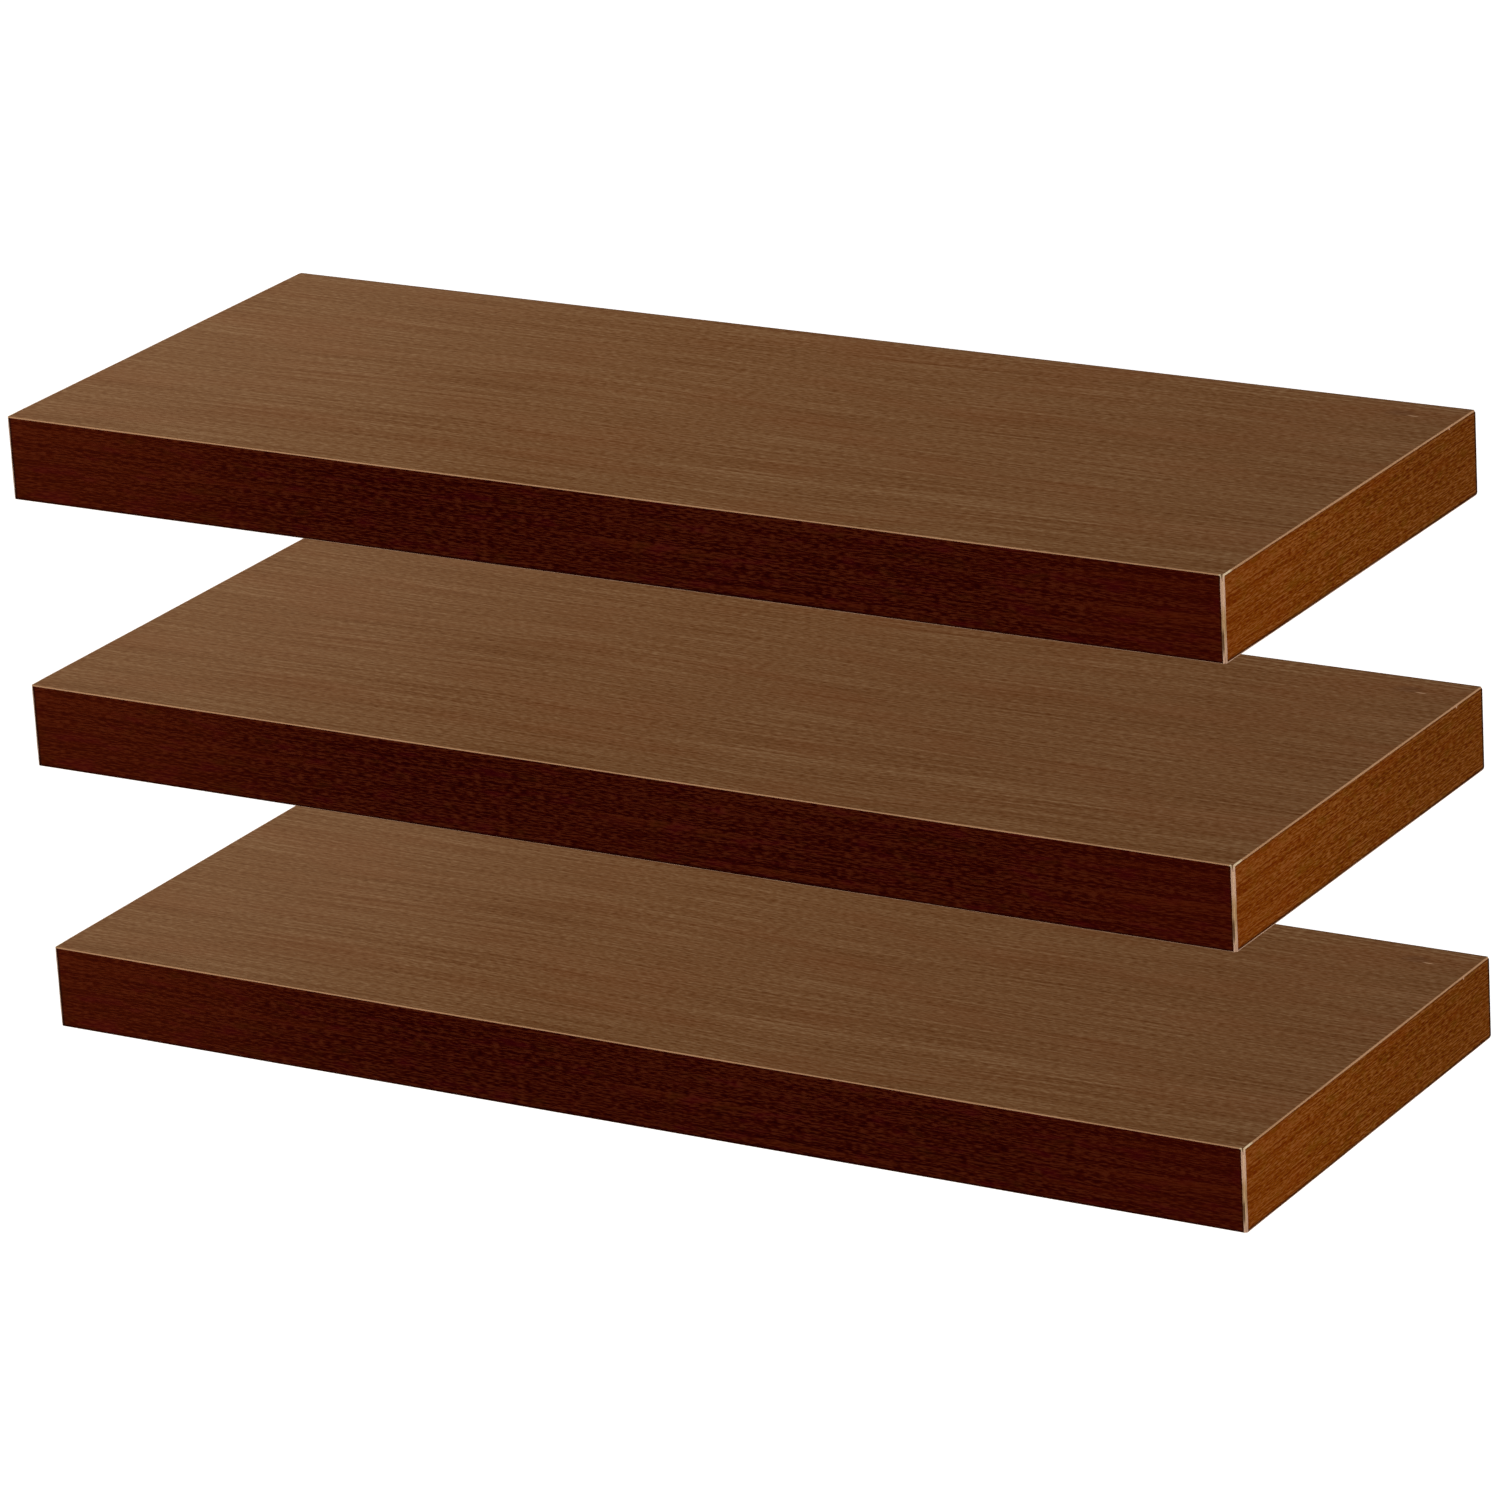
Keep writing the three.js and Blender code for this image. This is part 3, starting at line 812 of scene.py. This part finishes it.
def finishSteel(material, colour, lines, look):
    # rougher and smoother along the lines that rolling or drawing leaves, which also stand out a little
    (low, high), (smooth, rough) = noiseRange, look["roughness"]
    gloss = addNode(material.node_tree, "MapRange", {
        "Value": lines, "From Min": low, "From Max": high, "To Min": smooth, "To Max": rough,
    })
    return finishMaterial(material, {"Base Color": colour, "Roughness": gloss}, lines, *look["relief"])


def zincPlate(name, look):
    # Folded steel sheet with a bright zinc plate: a bluish grey metal, satin, with fine rolling lines along
    # the sheet, soft cloudy patches of the passivation, and a straw and blue stain round each welded rod.
    material, tree = startMaterial(name, {"Metallic": 1.0})
    place, flat = objectPlace(tree), printPlace(tree)
    rolled = stretchedNoise(tree, place, look["rolling"], 2)
    clouds = stretchedNoise(tree, place, look["cloud"], 3)
    colour = layTint(tree, colourSteps(tree, clouds, look["tones"]), rolled, look["lines"])
    for centre in rodPlaces:
        toRod = addNode(tree, "VectorMath", {0: flat, 1: (centre, 0, 0)}, operation="DISTANCE").outputs[1]
        colour = layHeat(tree, colour, toRod, clouds, look["heat"])
    return finishSteel(material, colour, rolled, look)


def drawnSteel(name, look):
    # Drawn bar with turned ends and a weld bead at the foot: grey steel with fine lines along the bar that
    # carry on over the turned faces, heat colours beside the weld, and the bead itself dark and uneven.
    material, tree = startMaterial(name, {"Metallic": 1.0})
    flat = printPlace(tree)
    lines = stretchedNoise(tree, flat, look["line"], 2)
    clouds = stretchedNoise(tree, flat, look["cloud"], 3)
    fromWall = addNode(tree, "SeparateXYZ", {0: flat}).outputs[1]
    colour = layHeat(tree, colourSteps(tree, lines, look["tones"]), fromWall, clouds, look["heat"])
    return finishSteel(material, colour, lines, look)


railSteel = zincPlate("bright_zinc_plate", zincLook)
barSteel = drawnSteel("drawn_steel_bar", barLook)

rod = {
    "radius": 6.0, "tipBevel": 1.5, "tipRound": 0.3,
    "roundShares": ((0.3, 0.2), (0.3, 0.45)),  # along and across the rod, at both ends of the tip's bevel
    "weldLeg": 2.5, "sheet": 2.0, "spigot": 4.0, "spigotBevel": 0.4,
    "ripples": 22, "rippleDepth": 0.45, "rippleLean": 2.4, "rippleEase": 0.7,
    "centreHole": 1.1, "centreDepth": 0.9, "centrePoint": 0.02,
    "faceReach": 1.0,                          # how far behind the tip the print turns onto the end face
    "sides": 72, "shankRows": 24, "beadRows": 13,
}


def makeRod(level, side):
    # A surface of revolution about the rod's own line, from (distance from the wall, radius) pairs. The weld
    # bead is scalloped: its radius is drawn in by a cosine round the rod that leans as it climbs the bead.
    node = f"{level}_{side}_rod"
    low, high = boxOf(node)
    centreX, centreZ = (low[0] + high[0]) / 2, (low[2] + high[2]) / 2
    tip, foot = -low[1], -high[1]
    radius, leg, sheet, spigot = rod["radius"], rod["weldLeg"], rod["sheet"], rod["spigot"]
    bevel, corner = rod["tipBevel"], rod["tipRound"]
    (firstBack, firstIn), (lastBack, lastIn) = corner * np.array(rod["roundShares"])
    turn = np.linspace(0, np.pi / 2, rod["beadRows"])
    shank = np.linspace(tip - bevel - corner, sheet + leg + corner, rod["shankRows"])
    outline = [
        (tip - rod["centreDepth"], rod["centrePoint"]), (tip, rod["centreHole"]),
        (tip, radius - bevel - corner), (tip - firstBack, radius - bevel - firstIn),
        (tip - bevel + lastBack, radius - lastIn),
        *((distance, radius) for distance in shank),
        *((sheet + leg * np.cos(angle), radius + leg * np.sin(angle)) for angle in turn),
        (sheet, spigot), (foot + rod["spigotBevel"], spigot), (foot, spigot - rod["spigotBevel"]),
        (foot, rod["centreHole"]), (foot + rod["centreDepth"], rod["centrePoint"]),
    ]
    distance, reach = (np.array(values)[:, None] for values in zip(*outline))
    around = np.linspace(0, 2 * np.pi, rod["sides"], endpoint=False)
    onBead = np.clip((distance - sheet) / leg, 0, 1) * (distance <= sheet + leg) * (reach > radius)
    scallop = 0.5 + 0.5 * np.cos(rod["ripples"] * around + rod["rippleLean"] * onBead)
    reach = reach - rod["rippleDepth"] * scallop * np.sin(np.pi * onBead) ** rod["rippleEase"]
    points = pointsAt(centreX + reach * np.cos(around), -distance, centreZ + reach * np.sin(around))
    printMap = pointsAt(around * radius, distance + (reach - radius) * (distance > tip - rod["faceReach"]))
    numbers = np.arange(reach.size).reshape(reach.shape)
    groups = quadsBetween(numbers[:-1], numbers[1:], closed=True), numbers[:1, ::-1], numbers[-1:]
    parts = [(faces, 0) for faces in groups]
    piece = makePiece(
        f"{level}_{side}_bar", points.reshape(-1, 3), parts, [barSteel], printMap.reshape(-1, 2),
    )
    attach(piece, "wall_brackets")
    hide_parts(node)


rail = {
    "sheet": 2.0, "innerBend": 1.0,
    "screwHole": 5.5, "slotLength": 12.0, "slotToEnd": 30.0, "holeToRod": 70.0, "spigotHole": 8.6,
    "cells": (15, 30), "blockReach": 9.0, "blockCells": 10, "bendSteps": 9, "flangeCells": 3,
    "edgeBevel": 0.22,                         # what tumbling leaves on the cut edges
}


def makeRail(level):
    # The channel's section is carried along x: one grid for its outside, one for its inside, a sheet's
    # thickness apart all round the folds. The screw slots, screw holes and spigot holes go through the web.
    node = f"{level}_wall_rail"
    low, high = boxOf(node)
    middle, half = (low[2] + high[2]) / 2, (high[2] - low[2]) / 2
    bend = rail["innerBend"] + rail["sheet"]
    screw = rail["screwHole"] / 2
    slotPlace = high[0] - rail["slotToEnd"]
    holePlace = rodPlaces[1] - rail["holeToRod"]
    cuts = [(side * slotPlace, slotHole(screw, rail["slotLength"] / 2 - screw)) for side in (-1, 1)]
    cuts += [(side * holePlace, roundHole(screw)) for side in (-1, 1)]
    cuts += [(place, roundHole(rail["spigotHole"] / 2)) for place in rodPlaces]
    block = rail["blockReach"], rail["blockCells"]
    x = holeStations(low[0], high[0], rail["cells"][0], [place for place, _ in cuts], *block)
    web = holeStations(bend - half, half - bend, rail["cells"][1], [0], *block)
    turn = np.linspace(0, np.pi / 2, rail["bendSteps"])
    flange = np.linspace(low[1] - high[1], -bend, rail["flangeCells"] + 1)[:-1]

    def laid(radius):
        # along the lower flange, round the fold, up the web, round the fold, along the upper flange
        arcOut, arcUp = radius * np.sin(turn) - bend, radius * np.cos(turn) + half - bend
        flangeUp = np.full(len(flange), half - bend + radius)
        webOut = np.full(len(web) - 2, radius - bend)
        out = np.concatenate((flange, arcOut, webOut, arcOut[::-1], flange[::-1]))
        up = np.concatenate((-flangeUp, -arcUp, web[1:-1], arcUp[::-1], flangeUp))
        return pointsAt(x[:, None], high[1] + out, middle + up)

    firstWeb = len(flange) + len(turn) - 1
    holes = [{
        "rows": holeBlock(x, place, block[0]),
        "columns": [firstWeb + station for station in holeBlock(web, 0, block[0])],
        "rings": holeThrough(outline, (place, middle), ((0, 0), (0, 1))),
    } for place, outline in cuts]
    points, *groups = bodyBetween(laid(bend), laid(rail["innerBend"]), holes)
    parts = [(faces, 0) for faces in groups]
    piece = makePiece(f"{level}_folded_rail", points, parts, [railSteel], points[:, (0, 2)] - (0, middle))
    breakEdges(piece, rail["edgeBevel"], segments=2, fromAngle=50)
    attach(piece, "wall_brackets")
    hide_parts(node)


for level in levels:
    makeRail(level)
    for side in ("left", "right"):
        makeRod(level, side)
print("rails and rods made")


# Studio

studio = {                                     # lengths in metres
    "floorDrop": 1.9,                          # from the lowest shelf to the floor
    "floorSize": 60.0,
    "floorTones": ((0.0, "#e9e7e4"), (1.0, "#e6e6e4")), "floorClouds": 1.5, "floorGlow": 0.7,
    "ambient": 0.06,                           # grey sky that only lights
    "suns": {                                  # azimuth and elevation it shines from, strength, angle across
        "front_softbox": {"azimuth": 27, "elevation": 15, "strength": 2.2, "angle": 8, "shadow": True},
        "back_softbox": {"azimuth": 150, "elevation": 15, "strength": 1.8, "angle": 12, "shadow": True},
        "high_fill": {"azimuth": 75, "elevation": 35, "strength": 0.75, "angle": 30, "shadow": False},
    },
    "sunDistance": 4,
    "leftFill": {"place": (-1.5, -0.15, 1.25), "size": 0.5, "power": 95},      # watts
}
camera = {
    "place": (1.7269, -2.9358, 1.1741),        # metres
    "forward": (-0.4917, 0.8027, -0.3375), "up": (-0.1267, 0.3175, 0.9397),
    "lens": 192.0, "sensor": 36.0,
    "sight": 100,                              # metres
}
white = (1, 1, 1, 1)


def seenStraight(tree):
    # 1 for a ray from the camera, off a gloss or through glass, 0 for light that falls on the object
    rays = addNode(tree, "LightPath").outputs
    seen = addNode(tree, "Math", {0: rays["Is Camera Ray"], 1: rays["Is Glossy Ray"]}, operation="MAXIMUM")
    return addNode(tree, "Math", {0: seen, 1: rays["Is Transmission Ray"]}, operation="MAXIMUM")


def makeFloor():
    # a plain pale sheet, which the camera sees brightened to white where no shadow falls
    material, tree = startMaterial("pale_paper_floor", {
        "Roughness": 0.95, "Specular IOR Level": 0.0, "Emission Color": white,
    })
    place = addNode(tree, "TexCoord").outputs["Object"]
    cloud = addNode(tree, "TexNoise", {"Vector": place, "Scale": studio["floorClouds"], "Detail": 1})
    glow = addNode(tree, "Math", {0: seenStraight(tree), 1: studio["floorGlow"]}, operation="MULTIPLY")
    colour = colourSteps(tree, cloud, studio["floorTones"])
    finishMaterial(material, {"Base Color": colour, "Emission Strength": glow})
    half, height = studio["floorSize"] / 2, cadLow[2] - studio["floorDrop"]
    corners = [(x * half, y * half, height) for x, y in ((-1, -1), (1, -1), (1, 1), (-1, 1))]
    mesh = bpy.data.meshes.new("floor")
    mesh.from_pydata(corners, [], [(0, 1, 2, 3)])
    mesh.materials.append(material)
    floor = newObject("floor", mesh)


def makeWorld():
    # white to the camera, to gloss and through glass, and a plain grey light to everything else
    world = bpy.data.worlds.new("studio")
    world.use_nodes = True
    tree = world.node_tree
    strength = addNode(tree, "MapRange", {"Value": seenStraight(tree), "To Min": studio["ambient"]})
    back = tree.nodes["Background"].inputs
    feed(tree, back["Color"], white)
    feed(tree, back["Strength"], strength)
    bpy.context.scene.world = world


def directionTo(azimuth, elevation):
    # unit vector towards a light: azimuth 0 stands on the room side, 90 on the right
    a, e = math.radians(azimuth), math.radians(elevation)
    return Vector((math.sin(a) * math.cos(e), -math.cos(a) * math.cos(e), math.sin(e)))


def makeLamps():
    # Low suns that reach in under each shelf, a high fill and a fill from the left. The photograph shows each
    # shelf lit by itself, so the fills cast no shadow of one shelf on the next.
    for name, look in studio["suns"].items():
        lamp = bpy.data.lights.new(name, "SUN")
        lamp.energy, lamp.angle = look["strength"], math.radians(look["angle"])
        lamp.use_shadow = look["shadow"]
        sun = newObject(name, lamp)
        towards = directionTo(look["azimuth"], look["elevation"])
        sun.location = towards * studio["sunDistance"]
        sun.rotation_mode = "QUATERNION"
        sun.rotation_quaternion = towards.to_track_quat("Z", "Y")
    look = studio["leftFill"]
    lamp = bpy.data.lights.new("left_fill", "POINT")
    lamp.energy, lamp.shadow_soft_size, lamp.use_shadow = look["power"], look["size"], False
    fill = newObject("left_fill", lamp)
    fill.location = look["place"]


def makeCamera():
    forward = Vector(camera["forward"]).normalized()
    right = forward.cross(Vector(camera["up"])).normalized()
    turned = Matrix((right, right.cross(forward), -forward)).transposed().to_4x4()
    lens = bpy.data.cameras.new("camera")
    lens.lens, lens.sensor_width, lens.clip_end = camera["lens"], camera["sensor"], camera["sight"]
    eye = newObject("camera", lens)
    eye.matrix_world = Matrix.Translation(camera["place"]) @ turned
    bpy.context.scene.camera = eye


makeFloor()
makeWorld()
makeLamps()
makeCamera()
bpy.context.scene.view_settings.view_transform = "Standard"
print("studio ready")
